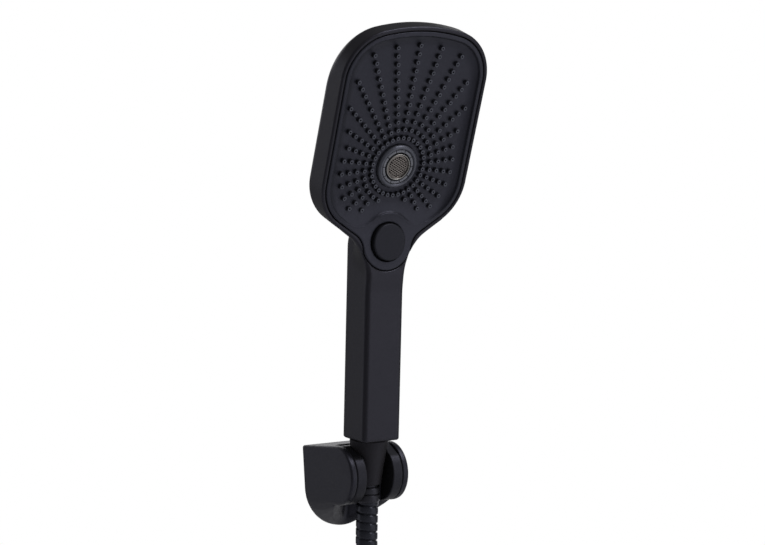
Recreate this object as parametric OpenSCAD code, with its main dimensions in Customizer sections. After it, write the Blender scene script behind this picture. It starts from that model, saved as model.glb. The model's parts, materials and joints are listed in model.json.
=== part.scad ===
// Handheld shower head with its wall bracket and the hose it hangs on.
// Millimetres, +Z up. The origin is on the wall, behind the middle of the bracket.
// +X is to the right of a person who faces the wall and -Y points away from the wall.

/* [Handset] */
// Width of the handle across its flat front
handle_w = 28; // [27:0.5:29]
// Distance from the hose axis to the flat front of the handle
handle_front = 15.5; // [15:0.5:16]
// Distance from the hose axis to the rounded back of the handle
handle_back = 14.5; // [14.5:0.5:15]
// Wall thickness of the moulded casing
wall = 2.4; // [2.2:0.1:2.6]
// Angle between the handle and the spray face
head_bend = 16.5; // [15.5:0.5:17.5]
// Height of the middle of the spray face above the bottom of the handle
face_z = 173.5; // [173:0.5:176]
// Thickness of the head behind its front rim
head_depth = 20; // [19.6:0.2:20.6]
// Width of the casing rim around the face plate
rim_w = 2.9; // [2.7:0.1:3.2]
// Half of the width of the face plate
plate_half_w = 50.4; // [50:0.2:51]
// Height of the face plate above the middle of the spray face
plate_top = 87.7; // [87:0.5:89]
// Radius of the face plate's corners
plate_corner_r = 29; // [28:0.5:29]

/* [Spray nozzles] */
// Radius of the innermost ring of nozzles
first_ring_r = 18.8; // [18.5:0.1:19.5]
// Distance between one ring of nozzles and the next
ring_step = 5.4; // [5.2:0.1:5.5]
// Height of a nozzle above the dished face
nozzle_h = 2.3; // [1.5:0.1:2.6]

/* [Button] */
// Radius of the push button
button_r = 11.7; // [11:0.1:11.9]
// How far the button stands out of the face plate
button_proud = 2.6; // [2.5:0.1:3]
// How far the button travels when it is pushed
button_travel = 2.2; // [1.8:0.1:2.3]

/* [Bracket] */
// Width of the bracket where it meets the wall
bracket_w = 52; // [51:0.5:53]
// Height of the bracket where it meets the wall
bracket_h = 54; // [53.5:0.5:55]
// Distance of the tilting axis from the wall
pivot_out = 32; // [31:0.5:34]
// Radius of the tilting cradle
cradle_r = 18.8; // [18.6:0.1:19]
// Width of the cradle between the two arms
cradle_w = 34; // [33.6:0.1:34.2]
// Width of the slot that the hose passes through
slot_w = 20; // [19:0.5:20]
// Lean of the handset in the cradle, away from the wall
lean = 8; // [6:0.5:9]
// Distance between the two wall screws
screw_spacing = 24; // [22:1:26]

/* [Hose] */
// Outer diameter of the metal hose
hose_d = 14; // [13.6:0.2:14]
// Diameter of the stored coil at the middle of its turns
coil_d = 140; // [140:2:150]

/* [Hidden] */
$fn = 48;
eps = 0.01;
gap = 0.3;
fit = 0.05;

// the handset stands on the tilting cradle and the head is bent on the handle
pivot_z = 7;
cone_forward = 4;
cone_above = 25;
face_y = -24;

// outline of the face plate: x to the side and v up the face
corner_x = plate_half_w - plate_corner_r;
upper_corner_v = 56.2;
lower_corner_v = -10.6;
shoulder_angle = 56.7;
top_rise = plate_top - upper_corner_v;
top_r = (corner_x * corner_x + top_rise * top_rise - plate_corner_r * plate_corner_r)
    / (2 * (top_rise - plate_corner_r));
top_turn = atan2(upper_corner_v - plate_top + top_r, corner_x);
shoulder_c = corner_x * cos(shoulder_angle) - lower_corner_v * sin(shoulder_angle) + plate_corner_r;

// depth through the head, from the front rim to the back
rim_y = -3.3;
plate_t = 2;
split_v = -38;
rim_round = 1;
crown_start = 57;
crown_edge = 8.5;
crown_steps = 6;
back_fillet = 8;
head_bottom = -46;
dish_border = 5.5;
dish_bottom = -37.5;
dish_button_r = 17.5;
dish_button_v = -48.2;

// lobe of the face plate around the button, in line with the handle
lobe_y = -16.5;
lobe_t = 2.5;
button_z = 125.5;
lobe_r = 18.3;
lobe_fillet = 12;
lobe_top = 138;
button_hole_r = 12.4;
button_t = 1.9;
guide_t = 1.5;
guide_end = -9.8;
// shoulder line of the plate in the handle's frame
shoulder_x = corner_x + plate_corner_r * cos(shoulder_angle);
shoulder_z = face_z + rim_y * sin(head_bend)
    + (lower_corner_v - plate_corner_r * sin(shoulder_angle)) * cos(head_bend);
slope = atan2(cos(shoulder_angle) * cos(head_bend), sin(shoulder_angle));
slope_n = [sin(slope), -cos(slope)];
slope_d = [cos(slope), sin(slope)];

// neck between the handle and the head
neck_fillet = 34;
neck_z = 96;
neck_rise = 9;
neck_top = 146;
neck_top_v = -37.5;
neck_below = 8;
neck_back = 9;
neck_back_r = 12;
back_turn_z = 120;
back_turn_r = 24;
back_turn = 40;

// nozzles on each spoke, from the top spoke to the bottom one
SPOKES = [12, 12, 12, 10, 8, 6, 5, 5, 5, 5, 5, 5, 4, 2, 1, 1];
spoke_step = 12;
nozzle_base_r = 1.5;
nozzle_tip_r = 1.2;
nozzle_hole_r = 0.45;
nozzle_fn = 16;
mat_t = 1.2;
mat_y = plate_t + fit;
mat_border = 6;
mat_bottom = -33;
former_y = mat_y + mat_t + fit;
former_t = 1.6;
chamber_h = 3;
cover_y = former_y + former_t + chamber_h + fit;
cover_t = 2;
chamber_top = 68;
chamber_bottom = -30;
chamber_wall = 1.6;
SCREWS = [[34, 40], [-34, 40], [34, -8], [-34, -8]];
screw_r = 1.5;
screw_head_r = 2.7;
screw_head_t = 1.6;

// outlet in the middle of the face
bezel_r = 14.1;
bezel_in_r = 11.3;
segment_in_r = 9.1;
mesh_rim_r = 8.4;
mesh_r = 7.9;
outlet_front = -2.6;
segment_count = 10;
mesh_pitch = 1.35;
mesh_hole_r = 0.45;
mesh_rings = 5;

// diverter behind the button
housing_r = 10.5;
housing_y = -9.5;
housing_end = 4.5;
cavity_r = 8.5;
cavity_y = -7.5;
cavity_end = 3;
socket_r = 7.4;
socket_z = 106;
socket_depth = 7;
stem_r = 2.5;
rotor_front = -2;
stem_tip = rotor_front - button_travel - gap;
rotor_r = 8.3;
cap_r = 9.8;
cap_t = 2;
duct_half_w = 9;
duct_front = 5;
duct_back = 8.2;
duct_y = 6.6;
duct_bore_r = 1.2;
DUCTS = [-5.5, 0, 5.5];
spring_r = 4.6;
spring_wire = 0.7;
spring_turns = 2;
spring_len = 1.5;

// water way in the handle
handle_floor = 6;
handle_end = -1.4;
handle_front_r = 3.2;
handle_back_r = 9;
nipple_r = 10.4;
nipple_out = 7.5;
nipple_top = 14;
nipple_bore_r = 5;
tube_r = 6;
tube_bore_r = 4.6;
tube_seat = 8;
seal_t = 1;
restrictor_t = 2;
restrictor_hole_r = 1.8;
restrictor_depth = 3;
restrictor_z = -nipple_out + restrictor_depth - fit;

// cone nut, and the end of the hose in it
cone_top_r = 12.3;
cone_bottom_r = 8.5;
cone_top = handle_end - 0.6;
cone_bottom = -32.6;
thread_end = -8;
washer_t = 1.8;
flange_r = 9;
flange_t = 1.6;
flange_top = thread_end - washer_t - 0.2;
neck_bore_r = 6.5;
insert_r = 6;
insert_bore_r = 4;
ferrule_r = 7.8;
ferrule_top = -33;
ferrule_bottom = -43;
hose_r = hose_d / 2;
bend_at = -60;
bend_gap = 3;
hose_sides = 12;

// lower part of the hose: its path below the bend, then the coil and the loose end
HOSE_ROUTE = [
    [0, -30.7, -31], [0, -29.7, -40], [0, -29.5, -50], [0.5, -31, -61], [2, -34.5, -73],
    [5, -40, -85], [9, -47, -97], [15, -54, -107], [22, -59, -118], [30, -61.5, -128.5],
    [39, -61.3, -139]
];
END_ROUTE = [[71.5, -16, -210], [75.5, -16, -221], [81, -16, -232], [86, -16, -243]];
coil_x = 0;
coil_z = -200;
coil_y = -37;
coil_turns = 3;
coil_w = hose_d * (coil_turns + 1);
tie_t = 1.6;
tie_w = 9;
nut_flats = 24;
nut_len = 18;
nut_bore_r = 9.4;
nut_seat = 6.2;
nut_collar_r = 12.6;
nut_collar_t = 3;
end_ferrule_len = 12;

// bracket
arm_t = 4.4;
arm_in = cradle_w / 2 + gap;
arm_out = arm_in + arm_t;
bracket_top = pivot_z + cradle_r;
bracket_bottom = bracket_top - bracket_h;
cradle_clear = 0.5;
cone_clear_r = 20.8;
cone_clear_w = 13.4;
hose_slot_w = 9.4;
hose_slot_r = 48;
plate_back_t = 3;
plate_inset = 3;
base_t = 4;
wall_screw_r = 2.3;
screw_pocket_r = 5.2;
screw_pocket_end = -7;
grub_r = 1.5;
grub_y = -1.7;
grub_len = 6;
pin_r = 4;
pin_in_arm = 2.8;
pin_in_cradle = 5;
washer_r = 9;
washer_thick = 1;
facet_angle = 64;
facet_at = 17.4;

// ---- frames ----

module in_hand() {
    translate([
        0,
        -pivot_out - cone_forward * cos(lean) - cone_above * sin(lean),
        pivot_z - cone_forward * sin(lean) + cone_above * cos(lean)
    ])
        rotate([lean, 0, 0])
            children();
}

module in_head() {
    in_hand()
        translate([0, face_y, face_z])
            rotate([head_bend, 0, 0])
                children();
}

module in_cradle() {
    in_hand()
        translate([0, cone_forward, -cone_above])
            children();
}

module at_pivot() {
    translate([0, -pivot_out, pivot_z])
        children();
}

// a flat shape drawn as (x, z), made solid from y0 to y1
module slab(y0, y1) {
    translate([0, y1, 0])
        rotate([90, 0, 0])
            linear_extrude(y1 - y0)
                children();
}

// a side view drawn as (y, z), made solid across the width
module side_slab(half_w) {
    translate([-half_w, 0, 0])
        rotate([90, 0, 90])
            linear_extrude(2 * half_w)
                children();
}

// a profile drawn as (radius, distance towards the front), turned about the y direction
module turned(z = 0) {
    translate([0, 0, z])
        rotate([90, 0, 0])
            rotate_extrude($fn = 96)
                children();
}

// a straight round bar along x
module bar_x(r, x0, x1) {
    translate([x0, 0, 0])
        rotate([0, 90, 0])
            cylinder(h = x1 - x0, r = r, $fn = 96);
}

// a straight round bar along the y direction, at height z
module bar_y(r, y0, y1, x = 0, z = 0) {
    translate([x, y1, z])
        rotate([90, 0, 0])
            cylinder(h = y1 - y0, r = r);
}

module pipe(r_out, r_in, z0, z1) {
    translate([0, 0, z0])
        difference() {
            cylinder(h = z1 - z0, r = r_out);
            translate([0, 0, -1])
                cylinder(h = z1 - z0 + 2, r = r_in);
        }
}

// ---- outlines ----

function arc(c, r, a0, a1, n) = [for (i = [0:n]) let (a = a0 + (a1 - a0) * i / n)
    [c[0] + r * cos(a), c[1] + r * sin(a)]];
function flip(points) = [for (i = [len(points) - 1:-1:0]) [-points[i][0], points[i][1]]];
function shoulder_u(v, o) = (shoulder_c + o + sin(shoulder_angle) * v) / cos(shoulder_angle);

// right half of the head's outline, grown by o, down to height v_end, its top lowered by drop
function head_half(o, v_end, drop) = concat(
    arc([0, plate_top - top_r - drop], top_r + o, 89.9, top_turn, 4),
    arc([corner_x, upper_corner_v - drop], plate_corner_r + o, top_turn - 1, 0, 8),
    arc([corner_x, lower_corner_v], plate_corner_r + o, -1, -shoulder_angle, 6),
    [[shoulder_u(v_end, o), v_end]]
);
function head_outline(o, v_end, drop = 0) =
    concat(head_half(o, v_end, drop), flip(head_half(o, v_end, drop)));

// the head's outline gets smaller towards the back, and its top lowest of all
function head_layer(i, a) = let (
    depth = crown_edge + (head_depth - crown_edge) * sin(a),
    edge = max(0, depth - head_depth + back_fillet)
) [
    rim_y + depth - i * sin(a),
    rim_w - i - back_fillet + sqrt(back_fillet * back_fillet - edge * edge),
    (plate_top + rim_w - crown_start) * (1 - cos(a))
];
function head_layers(i, y0) = concat(
    [[y0, rim_w - i - rim_round, 0], [y0 + rim_round, rim_w - i, 0]],
    [for (k = [0:crown_steps]) head_layer(i, 90 * k / crown_steps)]
);

module head_solid(i, y0) {
    rings = [for (t = head_layers(i, y0))
        [for (q = head_outline(t[1], head_bottom, t[2])) [q[0], t[0], q[1]]]];
    n = len(rings[0]);
    last = len(rings) - 1;
    polyhedron(
        points = [for (ring = rings) each ring],
        faces = concat(
            [[for (k = [0:n - 1]) k]],
            [for (r = [0:last - 1]) for (k = [0:n - 1]) each [
                [r * n + k, (r + 1) * n + k, r * n + (k + 1) % n],
                [r * n + (k + 1) % n, (r + 1) * n + k, (r + 1) * n + (k + 1) % n]
            ]],
            [[for (k = [n - 1:-1:0]) last * n + k]]
        ),
        convexity = 10
    );
}

// right half of the lobe around the button, grown by o
lobe_start = [shoulder_x, shoulder_z] + slope_n * lobe_fillet - [0, button_z];
lobe_b = lobe_start * slope_d;
lobe_reach = lobe_r + lobe_fillet;
lobe_t_at = -lobe_b + sqrt(lobe_b * lobe_b - lobe_start * lobe_start + lobe_reach * lobe_reach);
lobe_c = lobe_start + slope_d * lobe_t_at + [0, button_z];
lobe_turn = atan2(lobe_c[1] - button_z, lobe_c[0]);
function lobe_half(o) = concat(
    [[shoulder_x + (lobe_top - shoulder_z) / tan(slope) + o / sin(slope), lobe_top]],
    arc(lobe_c, lobe_fillet - o, 90 + slope, 180 + lobe_turn, 8),
    arc([0, button_z], lobe_r + o, lobe_turn, -90, 16)
);
function lobe_outline(o) = concat(lobe_half(o), flip(lobe_half(o)));

// right half of the neck in the head's frame, set in by i, where the sides spread into the head
neck_u = handle_w / 2 + neck_fillet;
neck_v = (neck_u * cos(shoulder_angle) - shoulder_c - rim_w - neck_fillet) / sin(shoulder_angle);
neck_end = [
    neck_u - neck_fillet * cos(shoulder_angle),
    neck_v + neck_fillet * sin(shoulder_angle)
];
function neck_half(i) = concat(
    [[shoulder_u(neck_top_v, rim_w - i - fit), neck_top_v]],
    arc([neck_u, neck_v], neck_fillet + i + fit, 180 - shoulder_angle, 180, 10),
    [[handle_w / 2 - i - 2 * fit, neck_v - neck_below]]
);
function neck_outline(i) = concat(neck_half(i), flip(neck_half(i)));

// side view of the handle and of the neck in front of it, set in by i
back_y0 = handle_back - back_turn_r;
back_end = [back_y0 + back_turn_r * cos(back_turn), back_turn_z + back_turn_r * sin(back_turn)];
function back_line(i) = concat(
    [[back_end[0] - 8 - i, back_end[1] + 9]],
    arc([back_y0, back_turn_z], back_turn_r - i, back_turn, 0, 8)
);
function handle_side(i) = concat(
    [[-handle_front - 1, handle_end], [-handle_front - 1, neck_top]], back_line(i),
    [[handle_back + 1, handle_end]]
);
function neck_side(i) = concat(
    [[i - handle_front + fit, neck_z], [i + lobe_y, neck_z + neck_rise], [i + lobe_y, neck_top]],
    [[handle_back + 1, neck_top], [handle_back + 1, neck_z]]
);

// what is cut away outside a rounded corner: x inwards from the side, y behind the back
function corner_cut(r) = concat([[-1, 1], [-1, -r]], arc([r, -r], r, 180, 90, 8), [[r, 1]]);

module neck_flare(i) {
    cut = corner_cut(neck_back_r - i);
    difference() {
        slab(rim_y - 3, neck_back - i)
            polygon(neck_outline(i));
        for (s = [0, 1])
            mirror([s, 0, 0]) {
                translate([neck_u, 0, neck_v])
                    rotate([90, 0, 0])
                        rotate_extrude($fn = 96)
                            polygon([for (q = cut) [neck_fillet + i + q[0], i - neck_back - q[1]]]);
                translate([neck_end[0], neck_back - i, neck_end[1]])
                    rotate([0, shoulder_angle, 0])
                        translate([-i, 0, 0])
                            linear_extrude(30)
                                polygon([for (q = cut) [-q[0], q[1]]]);
            }
    }
}

module handle_solid(i, z0) {
    intersection() {
        translate([0, 0, z0])
            linear_extrude(neck_top - z0)
                polygon(handle_section(i));
        side_slab(60)
            polygon(handle_side(i));
    }
    intersection() {
        translate([0, face_y, face_z])
            rotate([head_bend, 0, 0])
                neck_flare(i);
        side_slab(60)
            polygon(neck_side(i));
    }
}

// the handle is nearly square in front and well rounded behind, set in by i
function handle_half(i) = let (
    half = handle_w / 2 - i,
    front_r = handle_front_r - i / 2,
    back_r = handle_back_r - i
) concat(
    arc([half - front_r, i + front_r - handle_front], front_r, -90, 0, 6),
    arc([half - back_r, handle_back - i - back_r], back_r, 0, 90, 10)
);
function handle_section(i) = concat(handle_half(i), flip(handle_half(i)));

NOZZLES = [for (k = [-14:15]) for (j = [0:SPOKES[abs(k)] - 1])
    let (r = first_ring_r + ring_step * j, a = spoke_step * k) [r * sin(a), r * cos(a)]];

module at_nozzles() {
    for (p = NOZZLES)
        translate(p)
            children();
}

module dish() {
    difference() {
        polygon(head_outline(-dish_border, dish_bottom));
        translate([0, dish_button_v])
            circle(dish_button_r);
    }
}

// ---- handset ----

module casing_body() {
    handle_solid(0, handle_end);
    translate([0, face_y, face_z])
        rotate([head_bend, 0, 0])
            head_solid(0, rim_y);
}

module casing_hollow() {
    handle_solid(wall, handle_floor);
    slab(lobe_y - 1, lobe_y + lobe_t + gap)
        polygon(lobe_outline(gap / 2));
    translate([0, face_y, face_z])
        rotate([head_bend, 0, 0]) {
            intersection() {
                head_solid(wall, rim_y - 1);
                translate([-60, rim_y - 2, split_v - 2])
                    cube(140);
            }
            slab(rim_y - 1, plate_t + 1)
                polygon(head_outline(gap / 2, split_v - 2));
        }
}

module rear_casing() {
    color("#3f3f45")
        in_hand()
            difference() {
                casing_body();
                casing_hollow();
                translate([0, 0, handle_end - 1])
                    cylinder(h = handle_floor - handle_end + 2, r = nipple_r + fit);
                bar_y(button_hole_r + guide_t + fit, lobe_y, guide_end + gap, z = button_z);
            }
}

module face_plate() {
    color("#4a4c53")
        in_hand()
            difference() {
                union() {
                    translate([0, face_y, face_z])
                        rotate([head_bend, 0, 0]) {
                            slab(rim_y, 0)
                                difference() {
                                    polygon(head_outline(0, split_v));
                                    dish();
                                }
                            slab(-eps, plate_t)
                                difference() {
                                    polygon(head_outline(0, split_v));
                                    circle(bezel_r + fit);
                                    at_nozzles()
                                        circle(nozzle_base_r + fit, $fn = nozzle_fn);
                                }
                        }
                    slab(lobe_y, lobe_y + lobe_t)
                        polygon(lobe_outline(0));
                    bar_y(button_hole_r + guide_t, lobe_y + 1, guide_end, z = button_z);
                }
                bar_y(button_hole_r, lobe_y - 9, 0, z = button_z);
            }
}

module nozzle_mat() {
    color("#5b5e66")
        in_head() {
            slab(mat_y, mat_y + mat_t)
                difference() {
                    polygon(head_outline(-mat_border, mat_bottom));
                    circle(bezel_r + 0.5);
                    at_nozzles()
                        circle(nozzle_hole_r, $fn = nozzle_fn);
                }
            for (p = NOZZLES)
                translate([p[0], mat_y, p[1]])
                    rotate([90, 0, 0])
                        rotate_extrude($fn = nozzle_fn)
                            polygon([
                                [nozzle_hole_r, 0], [nozzle_base_r, 0], [nozzle_base_r, mat_y],
                                [nozzle_tip_r, mat_y + nozzle_h], [nozzle_hole_r, mat_y + nozzle_h]
                            ]);
        }
}

module chamber_outline(o) {
    intersection() {
        polygon(head_outline(o - mat_border - 0.5, chamber_bottom));
        translate([-60, -60])
            square([120, 60 + chamber_top + o]);
    }
}

module at_screws() {
    for (p = SCREWS)
        translate(p)
            children();
}

module spray_former() {
    color("#d9d9dc")
        in_head() {
            slab(former_y, former_y + former_t)
                difference() {
                    polygon(head_outline(-mat_border - 0.5, mat_bottom));
                    circle(bezel_r + fit);
                    for (p = NOZZLES)
                        if (abs(norm(p) - first_ring_r) < ring_step * 1.5)
                            translate(p)
                                circle(nozzle_hole_r, $fn = nozzle_fn);
                }
            slab(former_y + former_t, former_y + former_t + chamber_h)
                difference() {
                    union() {
                        difference() {
                            chamber_outline(0);
                            difference() {
                                chamber_outline(-chamber_wall);
                                at_screws()
                                    circle(screw_r + 1.6);
                            }
                        }
                        circle(bezel_r + 2);
                    }
                    circle(bezel_r + fit);
                    at_screws()
                        circle(screw_r + fit);
                    for (x = DUCTS)
                        translate([x - duct_bore_r, chamber_bottom - 1])
                            square([2 * duct_bore_r, chamber_wall + 2]);
                }
        }
}

module chamber_cover() {
    color("#c9cace")
        in_head()
            slab(cover_y, cover_y + cover_t)
                difference() {
                    chamber_outline(0);
                    at_screws()
                        circle(screw_r + fit);
                }
}

module cover_screws() {
    color("#b9bcc1")
        in_head()
            for (p = SCREWS)
                translate([p[0], cover_y + cover_t, p[1]])
                    rotate([90, 0, 0]) {
                        cylinder(h = cover_t + chamber_h, r = screw_r);
                        translate([0, 0, -screw_head_t])
                            cylinder(h = screw_head_t - fit, r = screw_head_r);
                        translate([0, 0, -fit - eps])
                            cylinder(h = fit + 2 * eps, r = screw_r);
                    }
}

module centre_bezel() {
    color("#8c8f96")
        in_head()
            turned()
                polygon([
                    [bezel_in_r, -cover_y + fit], [bezel_r, -cover_y + fit], [bezel_r, 1.2],
                    [bezel_r - 1.2, -outlet_front], [bezel_in_r + 0.6, -outlet_front],
                    [bezel_in_r, 1.6]
                ]);
}

module segment_ring() {
    color("#c3c5ca")
        in_head()
            difference() {
                turned()
                    polygon([
                        [2, -4], [bezel_in_r - fit, -4], [bezel_in_r - fit, 1.4],
                        [bezel_in_r - 0.5, 2], [segment_in_r, 2], [segment_in_r, -2.4], [2, -2.4]
                    ]);
                for (k = [0:segment_count - 1])
                    rotate([0, 360 / segment_count * k, 0])
                        translate([segment_in_r - 1, -3, -0.25])
                            cube([4, 1.6, 0.5]);
            }
}

module mesh_rim() {
    color("#e2e3e6")
        in_head()
            turned()
                polygon([
                    [mesh_r, -2.3], [mesh_rim_r, -2.3], [mesh_rim_r, 2.1], [mesh_rim_r - 0.25, 2.4],
                    [mesh_r, 2.4]
                ]);
}

module mesh_disc() {
    color("#9a9a9a")
        in_head()
            slab(-1.9, -1.5)
                difference() {
                    circle(mesh_r - fit);
                    for (i = [-mesh_rings:mesh_rings])
                        for (j = [-mesh_rings:mesh_rings])
                            if (abs(i + j) <= mesh_rings)
                                translate([mesh_pitch * (i + j / 2), mesh_pitch * j * sin(60)])
                                    circle(mesh_hole_r, $fn = 13);
                }
}

// ---- button and diverter ----

module button_cap() {
    front = -lobe_y + button_proud;
    skirt = -lobe_y - 3;
    color("#45464c")
        in_hand()
            turned(button_z)
                polygon([
                    [0, front - button_t], [0, front], [button_r - 1, front],
                    [button_r - 0.3, front - 0.3], [button_r, front - 1], [button_r, skirt],
                    [button_r - 1.5, skirt], [button_r - 1.5, front - button_t]
                ]);
}

module button_stem() {
    front = -lobe_y + button_proud - button_t - fit;
    color("#d8d8da")
        in_hand()
            turned(button_z)
                polygon([
                    [0, -stem_tip], [0, front], [4, front], [4, front - 1],
                    [stem_r, front - 1], [stem_r, -stem_tip + 2.4], [1.6, -stem_tip]
                ]);
}

// centre line of a coil spring along y, from y0, and the frame that goes round it
spring_steps = 16;
function spring_point(y0, len, k) = let (a = 360 * k / spring_steps)
    [spring_r * cos(a), y0 + len * k / (spring_steps * spring_turns), spring_r * sin(a)];

function unit(v) = v / norm(v);
function ring_at(c, t, r, n) = let (
    side = unit(cross(t, abs(t[1]) < 0.9 ? [0, 1, 0] : [1, 0, 0])),
    up = cross(side, t)
) [for (k = [0:n - 1]) c + r * (cos(360 * k / n) * side + sin(360 * k / n) * up)];

// a round tube of radius r along a list of points, with flat ends
module sweep(points, r, n) {
    m = len(points);
    rings = [for (i = [0:m - 1]) ring_at(
        points[i], unit(points[min(i + 1, m - 1)] - points[max(i - 1, 0)]), r, n)];
    polyhedron(
        points = [for (ring = rings) each ring],
        faces = concat(
            [[for (k = [n - 1:-1:0]) k]],
            [for (i = [0:m - 2]) for (k = [0:n - 1])
                [i * n + (k + 1) % n, (i + 1) * n + (k + 1) % n, (i + 1) * n + k, i * n + k]],
            [[for (k = [0:n - 1]) (m - 1) * n + k]]
        ),
        convexity = 10
    );
}

module button_spring() {
    y0 = lobe_y - button_proud + button_t + 1.1 + spring_wire / 2 + fit;
    color("#c9ccd1")
        in_hand()
            translate([0, 0, button_z])
                sweep([for (k = [0:spring_steps * spring_turns])
                    spring_point(y0, spring_len, k)], spring_wire / 2, 6);
}

module stem_seal() {
    color("#2a2a2c")
        in_hand()
            translate([0, housing_y - cap_t + 0.9, button_z])
                rotate([90, 0, 0])
                    rotate_extrude()
                        translate([stem_r + 0.85, 0])
                            circle(0.8);
}

module diverter_cap() {
    color("#bfc1c6")
        in_hand()
            difference() {
                bar_y(cap_r, housing_y - cap_t, housing_y - fit, z = button_z);
                bar_y(stem_r + fit, housing_y - cap_t - 1, housing_y + 1, z = button_z);
                bar_y(stem_r + 1.75, housing_y - cap_t - 1, housing_y - cap_t + 1.75, z = button_z);
            }
}

module duct_bores(v0, v1) {
    translate([0, face_y, face_z])
        rotate([head_bend, 0, 0])
            for (x = DUCTS)
                translate([x, duct_y, v0])
                    cylinder(h = v1 - v0, r = duct_bore_r);
}

module diverter_housing() {
    color("#d4d5d9")
        in_hand()
            difference() {
                union() {
                    bar_y(housing_r, housing_y, housing_end, z = button_z);
                    translate([0, 0, socket_z])
                        cylinder(h = 14, r = socket_r);
                }
                bar_y(cavity_r, cavity_y, cavity_end, z = button_z);
                bar_y(stem_r + 0.5, housing_y - 1, cavity_y + 1, z = button_z);
                translate([0, 0, socket_z - 1])
                    cylinder(h = socket_depth + 1, r = tube_r + fit);
                translate([0, 0, socket_z])
                    cylinder(h = 14, r = tube_bore_r);
                duct_bores(-50, -38);
            }
}

module diverter_rotor() {
    color("#e6e6e8")
        in_hand()
            difference() {
                union() {
                    bar_y(rotor_r, 0, cavity_end - 0.2, z = button_z);
                    bar_y(stem_r, rotor_front, 1, z = button_z);
                    for (k = [0:5])
                        translate([0, 0, button_z])
                            rotate([0, 60 * k, 0])
                                translate([5, -0.8, -0.9])
                                    cube([2.6, 1.6, 1.8]);
                }
                for (a = [30, 150, 270])
                    bar_y(1.8, -1, cavity_end + 1, x = 5 * cos(a), z = button_z + 5 * sin(a));
            }
}

module water_duct() {
    color("#cfd1d6")
        in_hand()
            difference() {
                translate([0, face_y, face_z])
                    rotate([head_bend, 0, 0])
                        translate([-duct_half_w, duct_front, head_bottom - 2])
                            cube([2 * duct_half_w, duct_back - duct_front,
                                chamber_bottom - head_bottom + 2 - fit]);
                bar_y(housing_r + fit, housing_y - 9, housing_end + 9, z = button_z);
                duct_bores(-60, chamber_bottom + 1);
            }
}

// ---- water way in the handle ----

module inlet_tube() {
    color("#dcdcdf")
        in_hand()
            pipe(tube_r, tube_bore_r, tube_seat + seal_t, socket_z + socket_depth - seal_t);
}

module tube_seals() {
    color("#2b2b2d")
        in_hand()
            for (z = [tube_seat + fit, socket_z + socket_depth - seal_t + fit])
                pipe(tube_r - fit, tube_bore_r, z, z + seal_t - 2 * fit);
}

module inlet_nipple() {
    color("#c8a24a")
        in_hand()
            difference() {
                union() {
                    translate([0, 0, -nipple_out])
                        cylinder(h = nipple_out + handle_floor, r = nipple_r);
                    translate([0, 0, handle_floor - eps])
                        cylinder(h = nipple_top - handle_floor, r = nipple_r - 1.6);
                }
                translate([0, 0, -nipple_out - 1])
                    cylinder(h = 40, r = nipple_bore_r);
                translate([0, 0, tube_seat])
                    cylinder(h = 20, r = tube_r + fit);
                translate([0, 0, -nipple_out - 1])
                    cylinder(h = 1 + restrictor_depth + restrictor_t, r = tube_r + fit);
            }
}

module flow_restrictor() {
    color("#7d9b4d")
        in_hand()
            pipe(tube_r, restrictor_hole_r, restrictor_z, restrictor_z + restrictor_t);
}

module inlet_washer() {
    color("#2a2a2c")
        in_hand()
            pipe(flange_r, insert_bore_r + 0.4, thread_end - washer_t, thread_end - fit);
}

module cone_nut() {
    color("#6b6a6e")
        in_hand()
            rotate_extrude($fn = 96)
                polygon([
                    [nipple_r + fit, cone_top], [cone_top_r - 0.5, cone_top],
                    [cone_top_r, cone_top - 0.5], [cone_bottom_r, cone_bottom + 0.6],
                    [cone_bottom_r - 0.6, cone_bottom], [neck_bore_r, cone_bottom],
                    [neck_bore_r, flange_top - flange_t - 0.2],
                    [flange_r + 0.3, flange_top - flange_t - 0.2],
                    [flange_r + 0.3, thread_end], [nipple_r + fit, thread_end]
                ]);
}

// ---- hose ----

module hose_insert() {
    color("#c8a24a")
        in_hand()
            rotate_extrude()
                polygon([
                    [insert_bore_r, flange_top], [flange_r, flange_top],
                    [flange_r, flange_top - flange_t], [insert_r, flange_top - flange_t],
                    [insert_r, ferrule_bottom + 1], [insert_bore_r, ferrule_bottom + 1]
                ]);
}

module hose_ferrule() {
    color("#8b8a90")
        in_hand()
            rotate_extrude()
                polygon([
                    [insert_r + fit, ferrule_top], [ferrule_r - 0.5, ferrule_top],
                    [ferrule_r, ferrule_top - 0.5], [ferrule_r, ferrule_bottom + 1],
                    [ferrule_r - 0.6, ferrule_bottom], [insert_r + fit, ferrule_bottom]
                ]);
}

module hose_stub() {
    color("#8d8e95")
        in_hand()
            sweep([for (z = [ferrule_bottom - fit, bend_at + bend_gap]) [0, 0, z]], hose_r, hose_sides);
}

module hose_tube() {
    color("#8d8e95")
        sweep(HOSE_ROUTE, hose_r, hose_sides);
}

module hose_coil() {
    color("#8d8e95")
        translate([coil_x, coil_y + coil_w / 2, coil_z])
            rotate([90, 0, 0])
                rotate_extrude($fn = 96)
                    translate([coil_d / 2 - hose_r, 0])
                        square([hose_d, coil_w]);
}

module hose_tail() {
    color("#8d8e95")
        sweep(END_ROUTE, hose_r, hose_sides);
}

module coil_tie() {
    color("#2d2d30")
        translate([coil_x - coil_d / 2, coil_y, coil_z])
            difference() {
                cube([hose_d + 4 * gap + 2 * tie_t, coil_w + gap + 2 * tie_t, tie_w], center = true);
                cube([hose_d + 4 * gap, coil_w + gap, tie_w + 2], center = true);
            }
}

// the free end of the hose, with z pointing out of the nut
END_LAST = END_ROUTE[len(END_ROUTE) - 1];
END_DIR = unit(END_LAST - END_ROUTE[len(END_ROUTE) - 2]);
module at_end() {
    translate(END_LAST)
        rotate([0, 180 - atan2(END_DIR[0], -END_DIR[2]), 0])
            children();
}

module end_ferrule() {
    color("#8b8a90")
        at_end()
            pipe(ferrule_r, insert_r + fit, fit, end_ferrule_len);
}

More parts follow.
